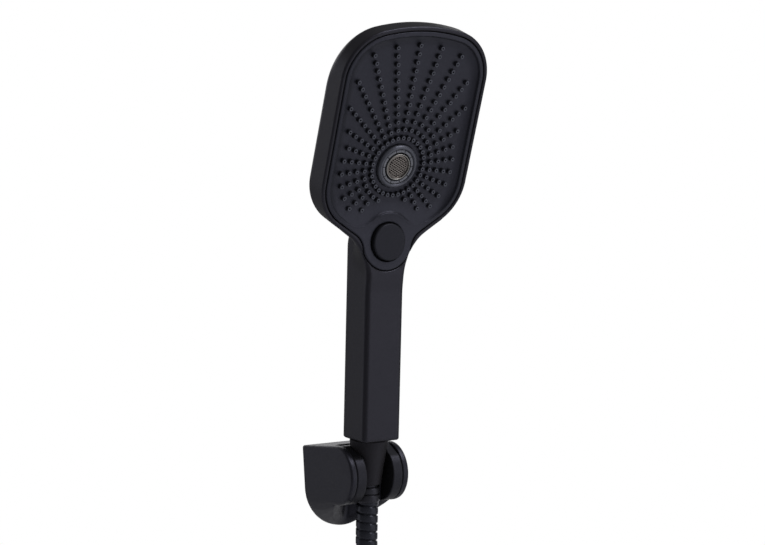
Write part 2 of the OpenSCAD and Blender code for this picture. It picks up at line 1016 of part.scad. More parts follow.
module end_insert() {
    color("#c8a24a")
        at_end()
            rotate_extrude()
                polygon([
                    [insert_bore_r, 1], [insert_r, 1], [insert_r, end_ferrule_len + 2.6],
                    [flange_r, end_ferrule_len + 2.6], [flange_r, end_ferrule_len + 4.2],
                    [insert_bore_r, end_ferrule_len + 4.2]
                ]);
}

module end_nut() {
    color("#6b6a6e")
        at_end()
            translate([0, 0, end_ferrule_len + gap])
                difference() {
                    union() {
                        cylinder(h = nut_len, r = nut_flats / 2 / cos(30), $fn = 6);
                        cylinder(h = nut_collar_t, r = nut_collar_r);
                    }
                    translate([0, 0, 2])
                        cylinder(h = nut_seat - 2, r = nut_bore_r + 0.4);
                    translate([0, 0, nut_seat - eps])
                        cylinder(h = nut_len, r = nut_bore_r);
                    translate([0, 0, -1])
                        cylinder(h = nut_len, r = neck_bore_r);
                }
}

module end_washer() {
    color("#2a2a2c")
        at_end()
            pipe(flange_r, insert_bore_r + 0.4, end_ferrule_len + 4.2 + fit, end_ferrule_len + 6.2);
}

// ---- bracket ----

module shield(i) {
    half = bracket_w / 2 - i;
    translate([0, bracket_bottom + bracket_w / 2])
        circle(half, $fn = 96);
    translate([-half, bracket_bottom + bracket_w / 2])
        square([2 * half, bracket_h - bracket_w / 2 - i]);
}

module bracket_body() {
    color("#4b4b52")
        difference() {
            union() {
                hull() {
                    slab(-base_t, 0)
                        shield(0);
                    at_pivot()
                        bar_x(cradle_r, -arm_out, arm_out);
                }
            }
            at_pivot() {
                bar_x(cradle_r + cradle_clear, -arm_in, arm_in);
                intersection() {
                    bar_x(cone_clear_r, -cone_clear_w, cone_clear_w);
                    translate([-cone_clear_w, -40, 0])
                        cube([2 * cone_clear_w, 80, 40]);
                }
                side_slab(hose_slot_w)
                    polygon(concat([[0, 0]], arc([0, 0], hose_slot_r, -120, -53, 2)));
                for (m = [0, 1])
                    mirror([m, 0, 0])
                        bar_x(pin_r + fit, arm_in - 1, arm_in + pin_in_arm);
            }
            slab(-plate_back_t - fit, 1)
                shield(plate_inset - fit);
            for (z = [-screw_spacing / 2, screw_spacing / 2])
                bar_y(screw_pocket_r, screw_pocket_end, 1, z = z);
            translate([0, grub_y, bracket_bottom - 1])
                cylinder(h = grub_len + 1, r = grub_r + fit);
        }
}

module wall_plate() {
    color("#a9abb0")
        difference() {
            slab(-plate_back_t, 0)
                shield(plate_inset);
            for (z = [-screw_spacing / 2, screw_spacing / 2])
                bar_y(wall_screw_r, -plate_back_t - 1, 1, z = z);
            translate([0, grub_y, bracket_bottom])
                cylinder(h = grub_len, r = grub_r + fit);
        }
}

module grub_screw() {
    color("#8f9196")
        translate([0, grub_y, bracket_bottom + 0.5])
            difference() {
                cylinder(h = grub_len - 0.7, r = grub_r);
                translate([0, 0, -1])
                    cylinder(h = 2.4, r = 0.8, $fn = 6);
            }
}

module cradle() {
    color("#5a5a62")
        in_cradle()
            difference() {
                bar_x(cradle_r, -cradle_w / 2, cradle_w / 2);
                translate([0, -cone_forward, cone_above])
                    rotate_extrude($fn = 96)
                        polygon([
                            [0, 6], [cone_top_r + gap, 6], [cone_top_r + gap, cone_top],
                            [cone_bottom_r + gap, cone_bottom], [cone_bottom_r + gap, -60], [0, -60]
                        ]);
                translate([-slot_w / 2, -cradle_r - 1, -cradle_r - 1])
                    cube([slot_w, cradle_r + 1 - cone_forward, 2 * cradle_r + 2]);
                rotate([90 - facet_angle, 0, 0])
                    translate([-cradle_w, -cradle_r, facet_at])
                        cube([2 * cradle_w, 2 * cradle_r, 4]);
                for (m = [0, 1])
                    mirror([m, 0, 0]) {
                        bar_x(pin_r + fit, cradle_w / 2 - pin_in_cradle, cradle_w / 2 + 1);
                        bar_x(washer_r + fit, cradle_w / 2 - washer_thick, cradle_w / 2 + 1);
                    }
            }
}

module pivot_pins() {
    color("#b5b7bc")
        at_pivot()
            for (m = [0, 1])
                mirror([m, 0, 0])
                    bar_x(pin_r, cradle_w / 2 - pin_in_cradle + 0.2, arm_in + pin_in_arm - fit);
}

module friction_washers() {
    color("#222224")
        at_pivot()
            for (m = [0, 1])
                mirror([m, 0, 0])
                    difference() {
                        bar_x(washer_r, cradle_w / 2 - washer_thick + fit, arm_in - fit);
                        bar_x(pin_r + fit, 0, arm_out);
                    }
}

// ---- what is shown ----

rear_casing();
face_plate();
nozzle_mat();
spray_former();
chamber_cover();
cover_screws();
centre_bezel();
segment_ring();
mesh_rim();
mesh_disc();
button_cap();
button_stem();
button_spring();
stem_seal();
diverter_housing();
diverter_rotor();
diverter_cap();
water_duct();
inlet_tube();
tube_seals();
inlet_nipple();
flow_restrictor();
cone_nut();
inlet_washer();
hose_insert();
hose_ferrule();
hose_stub();
hose_tube();
hose_coil();
hose_tail();
coil_tie();
end_ferrule();
end_insert();
end_nut();
end_washer();
bracket_body();
wall_plate();
grub_screw();
cradle();
pivot_pins();
friction_washers();
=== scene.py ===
import json
import math

import bpy
import numpy as np
from mathutils import Matrix, Vector

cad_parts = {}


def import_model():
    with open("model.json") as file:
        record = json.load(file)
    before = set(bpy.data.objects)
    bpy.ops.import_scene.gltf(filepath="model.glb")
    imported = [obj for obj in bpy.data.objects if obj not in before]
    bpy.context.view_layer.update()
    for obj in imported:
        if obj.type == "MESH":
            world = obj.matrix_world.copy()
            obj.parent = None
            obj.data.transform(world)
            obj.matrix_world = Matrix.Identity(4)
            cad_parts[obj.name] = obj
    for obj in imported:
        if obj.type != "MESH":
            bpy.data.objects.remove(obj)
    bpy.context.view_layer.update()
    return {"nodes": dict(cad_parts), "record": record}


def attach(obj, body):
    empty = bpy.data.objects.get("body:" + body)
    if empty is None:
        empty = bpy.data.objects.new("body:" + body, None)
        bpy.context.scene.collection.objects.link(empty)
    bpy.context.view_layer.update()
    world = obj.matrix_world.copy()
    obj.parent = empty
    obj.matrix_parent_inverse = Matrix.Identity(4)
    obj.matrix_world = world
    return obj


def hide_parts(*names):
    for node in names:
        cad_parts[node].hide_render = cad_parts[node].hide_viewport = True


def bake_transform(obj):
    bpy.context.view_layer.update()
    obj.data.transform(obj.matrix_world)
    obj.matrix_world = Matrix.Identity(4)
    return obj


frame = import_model()
rec = frame["record"]

# ---------------------------------------------------------------- frames (millimetres)
RAD = math.pi / 180
LEAN = 8 * RAD  # the handset's lean in its holder
BEND = 16.5 * RAD  # the head's turn from the line of the handle
PIVOT = np.array([0, -32.0, 7.0])  # the cradle's axis, from the wall
SEAT = np.array([0, -4.0, 25.0])  # the handset's frame, in the cradle's


def rot_x(a):
    c, s = math.cos(a), math.sin(a)
    return np.array([[1, 0, 0], [0, c, -s], [0, s, c]])


R_HAND = rot_x(LEAN)
O_HAND = PIVOT + R_HAND @ SEAT
R_HEAD = rot_x(BEND)
O_HEAD = np.array([0, -24.0, 173.5])


def hand(p):
    return np.asarray(p, float) @ R_HAND.T + O_HAND


def head_to_hand(p):
    return np.asarray(p, float) @ R_HEAD.T + O_HEAD


def head(p):
    return hand(head_to_hand(p))


def cradle_frame(p):
    return np.asarray(p, float) @ R_HAND.T + PIVOT


def world(p):
    return np.asarray(p, float)


# ---------------------------------------------------------------- camera
cam_data = bpy.data.cameras.new("camera")
cam = bpy.data.objects.new("camera", cam_data)
bpy.context.scene.collection.objects.link(cam)
cam_data.lens = 102.59
cam_data.sensor_width = 36
cam_data.clip_end = 50
right, up, ahead = (0.8346, -0.5482, -0.0536), (0.0448, -0.0294, 0.9986), (0.549, 0.8358, 0.0)
view = Matrix.Identity(4)
for r in range(3):
    view[r][0], view[r][1], view[r][2] = right[r], up[r], -ahead[r]
cam.matrix_world = Matrix.Translation((-0.7501, -1.2073, 0.1343)) @ view
bpy.context.scene.camera = cam


# ---------------------------------------------------------------- mesh helpers
def build(name, verts, faces, mat, body=None, frame_of=world, sharp=None):
    """A smooth mesh, given in millimetres in one of the frames above. It rides on body, if one is named."""
    me = bpy.data.meshes.new(name)
    me.from_pydata((frame_of(np.asarray(verts, float)) / 1000).tolist(), [], faces)
    me.validate()
    me.update()
    me.polygons.foreach_set("use_smooth", [True] * len(me.polygons))
    ob = bpy.data.objects.new(name, me)
    bpy.context.scene.collection.objects.link(ob)
    me.materials.append(mat)
    if sharp is not None:
        me.set_sharp_from_angle(angle=sharp * RAD)
    if body:
        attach(ob, body)
    return ob


def lathe(profile, n=64, axis="z"):
    """An open profile of (radius, height), turned about z, or about y with its height towards -y."""
    verts, faces = [], []
    m = len(profile)
    for k in range(n):
        a = 2 * math.pi * k / n
        for r, h in profile:
            x, y = r * math.cos(a), r * math.sin(a)
            verts.append((x, -h, y) if axis == "y" else (x, y, h))
    for k in range(n):
        k2 = (k + 1) % n
        for i in range(m - 1):
            q = (k * m + i, k2 * m + i, k2 * m + i + 1, k * m + i + 1)
            faces.append(q[::-1] if axis == "y" else q)
    return np.array(verts, float), faces


def soften(profile, r=0.4, steps=4):
    """Rounds the corners of an open profile of points."""
    out = [profile[0]]
    for a, b, c in zip(profile, profile[1:], profile[2:]):
        a, b, c = (np.array(q, float) for q in (a, b, c))
        la, lc = np.linalg.norm(a - b), np.linalg.norm(c - b)
        d = min(r, la * 0.45, lc * 0.45)
        p, q = b + (a - b) / max(la, 1e-9) * d, b + (c - b) / max(lc, 1e-9) * d
        for k in range(steps + 1):
            t = k / steps
            out.append(tuple((1 - t) ** 2 * p + 2 * t * (1 - t) * b + t * t * q))
    out.append(profile[-1])
    return out


POINTS_AT_ONCE = 400000
ROUNDS = 4  # how often the net's points are drawn onto the surface
SLOPE_STEP = 0.02


def nets(f, lo, hi, h):
    """The zero surface of f as a net of quads: one vertex in each cell that it crosses, drawn onto it."""
    axes = [np.arange(a, b + h, h) for a, b in zip(lo, hi)]
    nx, ny, nz = (len(a) for a in axes)
    vol = np.empty((nx, ny, nz), np.float32)
    yy, zz = np.meshgrid(axes[1], axes[2], indexing="ij")
    step = max(1, int(POINTS_AT_ONCE / (ny * nz)))
    for i in range(0, nx, step):
        xs = axes[0][i : i + step]
        columns = [np.repeat(xs, ny * nz), np.tile(yy.ravel(), len(xs)), np.tile(zz.ravel(), len(xs))]
        pts = np.stack(columns, -1)
        vol[i : i + len(xs)] = f(pts).reshape(len(xs), ny, nz)
    inside = vol < 0
    total = np.zeros((nx - 1, ny - 1, nz - 1, 3), np.float32)
    count = np.zeros((nx - 1, ny - 1, nz - 1), np.float32)
    grid = [nx, ny, nz]
    quads = []
    edges = []
    for ax in range(3):
        sl_a = [slice(None)] * 3
        sl_b = [slice(None)] * 3
        sl_a[ax], sl_b[ax] = slice(0, -1), slice(1, None)
        a, b = vol[tuple(sl_a)], vol[tuple(sl_b)]
        cross = inside[tuple(sl_a)] != inside[tuple(sl_b)]
        idx = np.argwhere(cross)
        va, vb = a[cross], b[cross]
        t = va / (va - vb)
        o1, o2 = (ax + 1) % 3, (ax + 2) % 3
        keep = (
            (idx[:, o1] > 0)
            & (idx[:, o2] > 0)
            & (idx[:, o1] < grid[o1] - 1)
            & (idx[:, o2] < grid[o2] - 1)
        )
        for d1 in (0, -1):
            for d2 in (0, -1):
                c = idx.copy()
                c[:, o1] += d1
                c[:, o2] += d2
                ok = (
                    (c[:, o1] >= 0)
                    & (c[:, o2] >= 0)
                    & (c[:, o1] < grid[o1] - 1)
                    & (c[:, o2] < grid[o2] - 1)
                )
                local = np.zeros((len(idx), 3), np.float32)
                local[:, ax] = t
                local[:, o1] = -d1
                local[:, o2] = -d2
                cc = c[ok]
                np.add.at(total, tuple(cc.T), local[ok])
                np.add.at(count, tuple(cc.T), 1)
        edges.append((ax, idx[keep], va[keep] < 0))
    cells = np.argwhere(count > 0)
    index = -np.ones(count.shape, np.int64)
    index[tuple(cells.T)] = np.arange(len(cells))
    pos = cells + total[tuple(cells.T)] / count[tuple(cells.T)][:, None]
    pos = pos * h + np.array([a[0] for a in axes])
    for ax, idx, out in edges:
        o1, o2 = (ax + 1) % 3, (ax + 2) % 3
        ring = []
        for d1, d2 in ((0, 0), (-1, 0), (-1, -1), (0, -1)):
            c = idx.copy()
            c[:, o1] += d1
            c[:, o2] += d2
            ring.append(index[tuple(c.T)])
        q = np.stack(ring, -1)
        q[~out] = q[~out][:, ::-1]
        quads.append(q)
    quads = np.concatenate(quads)
    for _ in range(ROUNDS):
        v = f(pos)
        sides = np.eye(3) * SLOPE_STEP
        g = np.stack([(f(pos + d) - f(pos - d)) / (2 * SLOPE_STEP) for d in sides], -1)
        g2 = np.maximum((g * g).sum(-1), 0.05)
        move = -(v / g2)[:, None] * g
        size = np.linalg.norm(move, axis=-1)
        move *= np.minimum(1, 0.5 * h / np.maximum(size, 1e-9))[:, None]
        pos = pos + move
    return pos, quads.tolist()


def smin(a, b, k):
    """Either shape, with the corner between them filled over a width of about k."""
    h = np.maximum(k - np.abs(a - b), 0) / k
    return np.minimum(a, b) - h * h * k / 4


def smax(a, b, k):
    """What both shapes share, with the corner eased over a width of about k."""
    return -smin(-a, -b, k)


def rmax(a, b, r):
    """What both shapes share, with the corner rounded to radius r."""
    qa, qb = np.maximum(a + r, 0), np.maximum(b + r, 0)
    most = np.maximum(a, b)
    return np.minimum(most, -r) + np.where(most > -r, np.hypot(qa, qb), 0)


def step01(t):
    """A smooth step from 0 to 1."""
    t = np.clip(t, 0, 1)
    return t * t * (3 - 2 * t)


# ---------------------------------------------------------------- materials
def principled(name):
    m = bpy.data.materials.new(name)
    m.use_nodes = True
    t = m.node_tree
    return m, t, t.nodes["Principled BSDF"]


def set_in(node, key, value):
    node.inputs[key].default_value = value


BLOTCH = 18.0  # scale of the slow changes in tone
ROUGH_VAR = 0.06
GRAIN_HEIGHT = 0.0002
COOL, WHITE = (0.9, 0.9, 1.2), (1, 1, 1)


def finish_mat(name, colour, rough, metal=0.0, grain=900.0, bump=0.05, var=0.06, specular=0.5, tint=COOL):
    """A finish with fine grain in its height, and slow changes in its tone and its roughness."""
    m, t, b = principled(name)
    set_in(b, "Metallic", metal)
    set_in(b, "Specular IOR Level", specular)
    set_in(b, "Specular Tint", (*tint, 1))
    co = t.nodes.new("ShaderNodeTexCoord")
    slow = t.nodes.new("ShaderNodeTexNoise")
    set_in(slow, "Scale", BLOTCH)
    set_in(slow, "Detail", 3.0)
    t.links.new(co.outputs["Object"], slow.inputs["Vector"])
    fine = t.nodes.new("ShaderNodeTexNoise")
    set_in(fine, "Scale", grain)
    set_in(fine, "Detail", 4.0)
    t.links.new(co.outputs["Object"], fine.inputs["Vector"])
    ramp = t.nodes.new("ShaderNodeMapRange")
    set_in(ramp, "To Min", 1 - var)
    set_in(ramp, "To Max", 1 + var)
    t.links.new(slow.outputs["Fac"], ramp.inputs["Value"])
    mix = t.nodes.new("ShaderNodeMix")
    mix.data_type = "RGBA"
    mix.blend_type = "MULTIPLY"
    mix.inputs[0].default_value = 1.0
    mix.inputs[6].default_value = (*colour, 1)
    t.links.new(ramp.outputs["Result"], mix.inputs[7])
    t.links.new(mix.outputs[2], b.inputs["Base Color"])
    rr = t.nodes.new("ShaderNodeMapRange")
    set_in(rr, "From Min", 0.3)
    set_in(rr, "From Max", 0.7)
    set_in(rr, "To Min", max(0.02, rough - ROUGH_VAR))
    set_in(rr, "To Max", min(1.0, rough + ROUGH_VAR))
    t.links.new(fine.outputs["Fac"], rr.inputs["Value"])
    t.links.new(rr.outputs["Result"], b.inputs["Roughness"])
    bp = t.nodes.new("ShaderNodeBump")
    set_in(bp, "Strength", bump)
    set_in(bp, "Distance", GRAIN_HEIGHT)
    t.links.new(fine.outputs["Fac"], bp.inputs["Height"])
    t.links.new(bp.outputs["Normal"], b.inputs["Normal"])
    return m


M = {
    "casing": finish_mat("casing_lacquer", (0.0165, 0.0155, 0.018), 0.4, specular=0.42),
    "face": finish_mat("face_lacquer", (0.022, 0.023, 0.03), 0.42, specular=0.45),
    "nozzle_rubber": finish_mat("nozzle_rubber", (0.012, 0.012, 0.014), 0.55, bump=0.03),
    # the nubs' tips get a lighter copy of the rubber, a painted highlight; their walls keep the dark
    # rubber, partly its own black and partly painted shade
    "nozzle_tip": finish_mat("nozzle_tip_painted_highlight", (0.085, 0.09, 0.11), 0.45, bump=0.03),
    "inner_plastic": finish_mat("inner_plastic", (0.72, 0.72, 0.71), 0.45, var=0.03, tint=WHITE),
    "bezel": finish_mat("bezel_satin", (0.115, 0.12, 0.145), 0.36, 0.3, bump=0.03),
    "segments": finish_mat("segment_plastic", (0.23, 0.238, 0.268), 0.42, 0.1, bump=0.02),
    "bright_rim": finish_mat("rim_bright", (0.42, 0.41, 0.4), 0.38, 1.0, bump=0.01, tint=WHITE),
    "mesh": finish_mat("mesh_steel", (0.25, 0.225, 0.215), 0.34, 1.0, bump=0.02, tint=WHITE),
    "button": finish_mat("button_satin", (0.014, 0.0145, 0.017), 0.5, bump=0.04, specular=0.35),
    "spring_steel": finish_mat("spring_steel", (0.62, 0.62, 0.63), 0.25, 1.0, bump=0.01, tint=WHITE),
    "steel": finish_mat("zinc_steel", (0.55, 0.55, 0.56), 0.32, 1.0, bump=0.03, tint=WHITE),
    "seal_rubber": finish_mat("seal_rubber", (0.02, 0.02, 0.021), 0.6, bump=0.05),
    "brass": finish_mat("brass_turned", (0.62, 0.44, 0.17), 0.28, 1.0, bump=0.02, tint=WHITE),
    "restrictor": finish_mat("restrictor_plastic", (0.2, 0.42, 0.12), 0.4),
    "cone": finish_mat("cone_grain", (0.02, 0.0185, 0.019), 0.6, grain=1400, bump=0.3, specular=0.4),
    "ferrule": finish_mat("ferrule_satin", (0.03, 0.03, 0.034), 0.36, 0.3),
    "hose_metal": finish_mat("hose_wound", (0.028, 0.03, 0.037), 0.3, 0.4, bump=0.02),
    "tie": finish_mat("tie_black", (0.02, 0.02, 0.022), 0.5),
    "bracket": finish_mat("bracket_lacquer", (0.016, 0.016, 0.02), 0.4, specular=0.4),
    "cradle": finish_mat("cradle_satin", (0.013, 0.013, 0.014), 0.48, specular=0.4),
    "plate_steel": finish_mat("plate_steel", (0.5, 0.5, 0.5), 0.4, 1.0, tint=WHITE),
    # dark seams, and also the painted shade behind the outlet's mesh
    "seam": finish_mat("seam_dark_and_painted_shade", (0.006, 0.006, 0.007), 0.8, bump=0.01),
}
M["hose_stored"] = M["hose_metal"]  # the stored turns have the hose's own finish
SLOT_OF = {s["node"]: s["material_slot"] for s in rec["subparts"]}
for node, ob in frame["nodes"].items():
    ob.data.materials.clear()
    ob.data.materials.append(M[SLOT_OF[node]])


def place(ob, slot, *nodes):
    """Hides the CAD nodes that a piece takes the place of."""
    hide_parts(*nodes)


# ---------------------------------------------------------------- hose
HOSE_UP = [hand([0, 0, z]) for z in (-41.0, -46.0, -52.0)]
HOSE_ROUTE = [
    [0, -30.7, -31], [0, -29.7, -40], [0, -29.5, -50], [0.5, -31, -61], [2, -34.5, -73],
    [5, -40, -85], [9, -47, -97], [15, -54, -107], [22, -59, -118], [30, -61.5, -128.5],
    [39, -61.3, -139], [49.5, -59.8, -150.5], [60.6, -59.2, -165], [67.6, -58.6, -181.9],
]
TURNS, COIL_R, COIL_Y, COIL_Z, COIL_DEPTH = 3, 70, -58, -200, 42
COIL_ANGLES = range(0, 360 * TURNS + 1, 10)
COIL = [
    [
        COIL_R * math.cos(a * RAD),
        COIL_Y + COIL_DEPTH * a / (360 * TURNS),
        COIL_Z - COIL_R * math.sin(a * RAD),
    ]
    for a in COIL_ANGLES
]
END_ROUTE = [[71.5, -16, -210], [75.5, -16, -221], [81, -16, -232], [86, -16, -243]]
HOSE_POINTS = np.array([list(p) for p in HOSE_UP] + HOSE_ROUTE + COIL + END_ROUTE, float)


def spline(points, step):
    """A smooth line through the points, in even steps, and its length."""
    p = np.vstack([2 * points[0] - points[1], points, 2 * points[-1] - points[-2]])
    fine = []
    for i in range(1, len(p) - 2):
        a, b, c, d = p[i - 1 : i + 3]
        t = np.linspace(0, 1, 24, endpoint=False)[:, None]
        curve = 2 * b + (c - a) * t + (2 * a - 5 * b + 4 * c - d) * t**2
        fine.append(0.5 * (curve + (3 * b - a - 3 * c + d) * t**3))
    fine = np.vstack([*fine, p[-2:-1]])
    s = np.concatenate([[0], np.cumsum(np.linalg.norm(np.diff(fine, axis=0), axis=1))])
    even = np.linspace(0, s[-1], int(s[-1] / step) + 1)
    return np.stack([np.interp(even, s, fine[:, k]) for k in range(3)], -1), s[-1]


def tube_along(line, radius_at, sides):
    """Rings along a line with no twist; radius_at(distance, angle) gives the surface."""
    t = np.gradient(line, axis=0)
    t /= np.linalg.norm(t, axis=1)[:, None]
    u = np.cross(t[0], [0, 1.0, 0.3])
    u /= np.linalg.norm(u)
    rings, dist = [], 0.0
    ang = 2 * math.pi * np.arange(sides) / sides
    for i, c in enumerate(line):
        if i:
            dist += np.linalg.norm(c - line[i - 1])
        u = u - t[i] * (u @ t[i])
        u /= np.linalg.norm(u)
        w = np.cross(t[i], u)
        r = radius_at(dist, ang)[:, None]
        rings.append(c + r * (np.cos(ang)[:, None] * u + np.sin(ang)[:, None] * w))
    verts = np.concatenate(rings)
    n = len(line)
    faces = []
    for i in range(n - 1):
        here, there = i * sides, (i + 1) * sides
        for k in range(sides):
            k2 = (k + 1) % sides
            faces.append((here + k, here + k2, there + k2, there + k))
    faces.append(tuple(range(sides))[::-1])
    faces.append(tuple((n - 1) * sides + k for k in range(sides)))
    return verts, faces


PITCH, HOSE_R, CROWN, GROOVE = 5.5, 7.05, 0.25, 1.3


def wound(dist, ang):
    """The wound strip: broad rounded bands with a narrow groove, on a helix."""
    ph = (dist / PITCH + ang / (2 * math.pi)) % 1.0
    band = np.abs(2 * ph - 1)
    return HOSE_R - CROWN * band**4 - GROOVE * step01((band - 0.78) / 0.2)


hose_line, hose_len = spline(HOSE_POINTS, 0.5)
hv, hf = tube_along(hose_line, wound, 36)
hose = build("hose", hv, hf, M["hose_metal"])
place(hose, "hose_metal", "hose_stub", "hose_tube", "hose_coil", "hose_tail")
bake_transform(hose)

# ---------------------------------------------------------------- handset shapes
# The face's outline: upright sides, an arched top, lower sides that slant in, and rounded corners
# between them. The corners' middles are at CORNER_U to each side, and at HIGH_V and LOW_V.
SLANT = 56.7 * RAD
CORNER_U, HIGH_V, LOW_V, FACE_TOP, CORNER_R = 21.4, 56.2, -10.6, 87.7, 29.0
TOP_R = (CORNER_U**2 + (FACE_TOP - HIGH_V) ** 2 - CORNER_R**2) / (2 * (FACE_TOP - HIGH_V - CORNER_R))
SHOULDER = CORNER_U * math.cos(SLANT) - LOW_V * math.sin(SLANT) + CORNER_R
RIM_W, RIM_Y, DEPTH = 2.9, -3.3, 20.4
CROWN_EDGE, CROWN_START, BACK_R, HANDLE_END = 9.5, 60.0, 6.5, -1.4
LOBE_Y, LOBE_R, LOBE_FILLET, BUTTON_Z, BORDER = -16.5, 18.3, 12, 125.5, 2.8
HALF_HANDLE, HALF_HANDLE_DEPTH, HANDLE_BACK = 14, 15, 14.5
HANDLE_MID = HANDLE_BACK - HALF_HANDLE_DEPTH
BACK_TURN = 42 * RAD


def face_outline(u, v, drop=0.0):
    """How far a point of the face is outside the plate's outline."""
    u = np.abs(u)
    high_v, arch_v = HIGH_V - drop, FACE_TOP - TOP_R - drop
    side = u - CORNER_U
    line = u * math.cos(SLANT) - v * math.sin(SLANT) - (SHOULDER - CORNER_R)
    top = np.hypot(u, v - arch_v) - (TOP_R - CORNER_R)
    d = np.maximum(np.maximum(side, line), top)
    turn = math.atan2(HIGH_V - FACE_TOP + TOP_R, CORNER_U)
    at_high = (v > high_v) & (np.arctan2(v - arch_v, u) < turn)
    d = np.where(at_high, np.hypot(u - CORNER_U, v - high_v), d)
    along = -(u - CORNER_U) * math.sin(SLANT) - (v - LOW_V) * math.cos(SLANT)
    at_low = (v < LOW_V) & (along < 0) & (u > CORNER_U - 12)
    d = np.where(at_low, np.hypot(u - CORNER_U, v - LOW_V), d)
    return d - CORNER_R


def to_head(p):
    """From the handset's frame to the head's: u across, y through the head and v up its face."""
    return (p - O_HEAD) @ R_HEAD


NECK_R = 34.0
NECK_U = HALF_HANDLE + NECK_R
NECK_V = (NECK_U * math.cos(SLANT) - SHOULDER - RIM_W - NECK_R) / math.sin(SLANT)


def neck_half_width(v):
    """Half width of the neck, at height v in the head's frame, where it spreads into the head."""
    end = NECK_V + NECK_R * math.sin(SLANT)
    arc = NECK_U - np.sqrt(np.maximum(NECK_R**2 - np.maximum(v - NECK_V, 0) ** 2, 1))
    line = (SHOULDER + RIM_W + math.sin(SLANT) * v) / math.cos(SLANT)
    return np.where(v < end, arc, line)


def back_of_handle(y, z):
    """How far a point is behind the handle's back, which bends towards the head."""
    y0, z0, r = -9.5, 120.0, 24.0
    flat = y - HANDLE_BACK
    round_ = np.hypot(y - y0, np.maximum(z - z0, 0)) - r
    c, s = math.cos(BACK_TURN), math.sin(BACK_TURN)
    line = (y - y0) * c + (z - z0) * s - r
    a = np.arctan2(z - z0, y - y0)
    return np.where(z < z0, flat, np.where(a < BACK_TURN, round_, line))


def handle_and_neck(p):
    x, y, z = p[:, 0], p[:, 1], p[:, 2]
    q = to_head(p)
    v, yh = q[:, 2], q[:, 1]
    spread = neck_half_width(np.minimum(v, -36)) - HALF_HANDLE
    fade = 1 - step01((yh + 4) / 15)
    w = HALF_HANDLE + spread * fade
    front = y + step01((z - 92) / 14)
    yy = np.where(y < HANDLE_MID, front, HANDLE_BACK + back_of_handle(y, z))
    r = np.where(y < HANDLE_MID, 3.2, 9.0)
    qx, qy = np.abs(x) - w + r, np.abs(yy - HANDLE_MID) - HALF_HANDLE_DEPTH + r
    d = np.minimum(np.maximum(qx, qy), 0) + np.hypot(np.maximum(qx, 0), np.maximum(qy, 0)) - r
    d = rmax(d, HANDLE_END - z, 1.2)
    return smax(d, v + 33, 2)


def head_body(p):
    q = to_head(p)
    u, y, v = q[:, 0], q[:, 1], q[:, 2]
    depth = y - RIM_Y
    s = np.clip((depth - CROWN_EDGE) / (DEPTH - CROWN_EDGE), 0, 0.995)
    cosa = np.sqrt(1 - s * s)
    drop = (FACE_TOP + RIM_W - CROWN_START) * (1 - cosa)
    e = np.clip((depth - (DEPTH - BACK_R)) / BACK_R, 0, 0.98)
    inset = BACK_R * (1 - np.sqrt(1 - e * e))
    d = face_outline(u, v, drop) - RIM_W + inset
    d = smax(d, depth - DEPTH, 2.0)
    d = rmax(d, -depth, 1.4)
    return smax(d, -v - 46, 3)


# In the handle's front plane: a point on the slanted seam, its slope, and the middle of the fillet
# between it and the lobe's circle
SEAM_X = CORNER_U + CORNER_R * math.cos(SLANT)
SEAM_Z = O_HEAD[2] + RIM_Y * math.sin(BEND) + (LOW_V - CORNER_R * math.sin(SLANT)) * math.cos(BEND)
SLOPE = math.atan2(math.cos(SLANT) * math.cos(BEND), math.sin(SLANT))
SLOPE_D = np.array([math.cos(SLOPE), math.sin(SLOPE)])
SLOPE_N = np.array([math.sin(SLOPE), -math.cos(SLOPE)])
START = np.array([SEAM_X, SEAM_Z - BUTTON_Z]) + LOBE_FILLET * SLOPE_N
BACK = START @ SLOPE_D
REST = math.sqrt(BACK**2 - START @ START + (LOBE_R + LOBE_FILLET) ** 2)
LOBE_C = START - SLOPE_D * (BACK - REST) + [0, BUTTON_Z]


def lobe_half(p):
    """How far a point is outside the outline of the plate's lobe, in the handle's front plane."""
    x, z = np.abs(p[:, 0]), p[:, 2]
    c = LOBE_C
    circle = np.hypot(x, z - BUTTON_Z) - LOBE_R
    fillet = LOBE_FILLET - np.hypot(x - c[0], z - c[1])
    line = (x - SEAM_X) * SLOPE_N[0] + (z - SEAM_Z) * SLOPE_N[1]
    a1 = math.atan2(BUTTON_Z - c[1], -c[0])
    ang = np.arctan2(z - c[1], x - c[0])
    in_fillet = (ang > 90 * RAD + SLOPE) & (ang < a1) & (x < c[0])
    d = np.where(in_fillet, fillet, circle)
    ray = (x - c[0]) * math.cos(90 * RAD + SLOPE) + (z - c[1]) * math.sin(90 * RAD + SLOPE)
    side = (x - c[0]) * math.cos(SLOPE) + (z - c[1]) * math.sin(SLOPE)
    return np.where((side > 0) & (ray > 0), line, d)


def seam(p):
    """How far a point is outside the seam between the plate and the casing."""
    q = to_head(p)
    face = face_outline(q[:, 0], q[:, 2])
    return np.where(q[:, 2] > -38.0, face, lobe_half(p))


def front_of_plate(p):
    """How far a point is in front of the plate: rim, dished floor, and the lobe in line with the handle."""
    q = to_head(p)
    u, y, v = q[:, 0], q[:, 1], q[:, 2]
    out = face_outline(u, v) + BORDER
    low = -38.2 - v
    dish = smax(out, low, 3)
    knob = 18.0 - np.hypot(u, v + 48.2)
    dish = smax(dish, knob, 5)
    slope = 1 - (1 - np.clip(-dish / 7.5, 0, 1)) ** 2.3
    sink = -RIM_Y * (0.3 * step01(-dish / 0.9) + 0.7 * slope)
    bead = 0.26 * np.exp(-(((dish + 0.15) / 0.6) ** 2))
    flat = RIM_Y + sink - bead - y
    lobe = LOBE_Y - p[:, 1]
    return smin(flat, lobe, 1.6)


PLATE_THICK, BUTTON_HOLE_R, OUTLET_HOLE_R, WELL_R = 2.6, 12.45, 14.2, 12.8


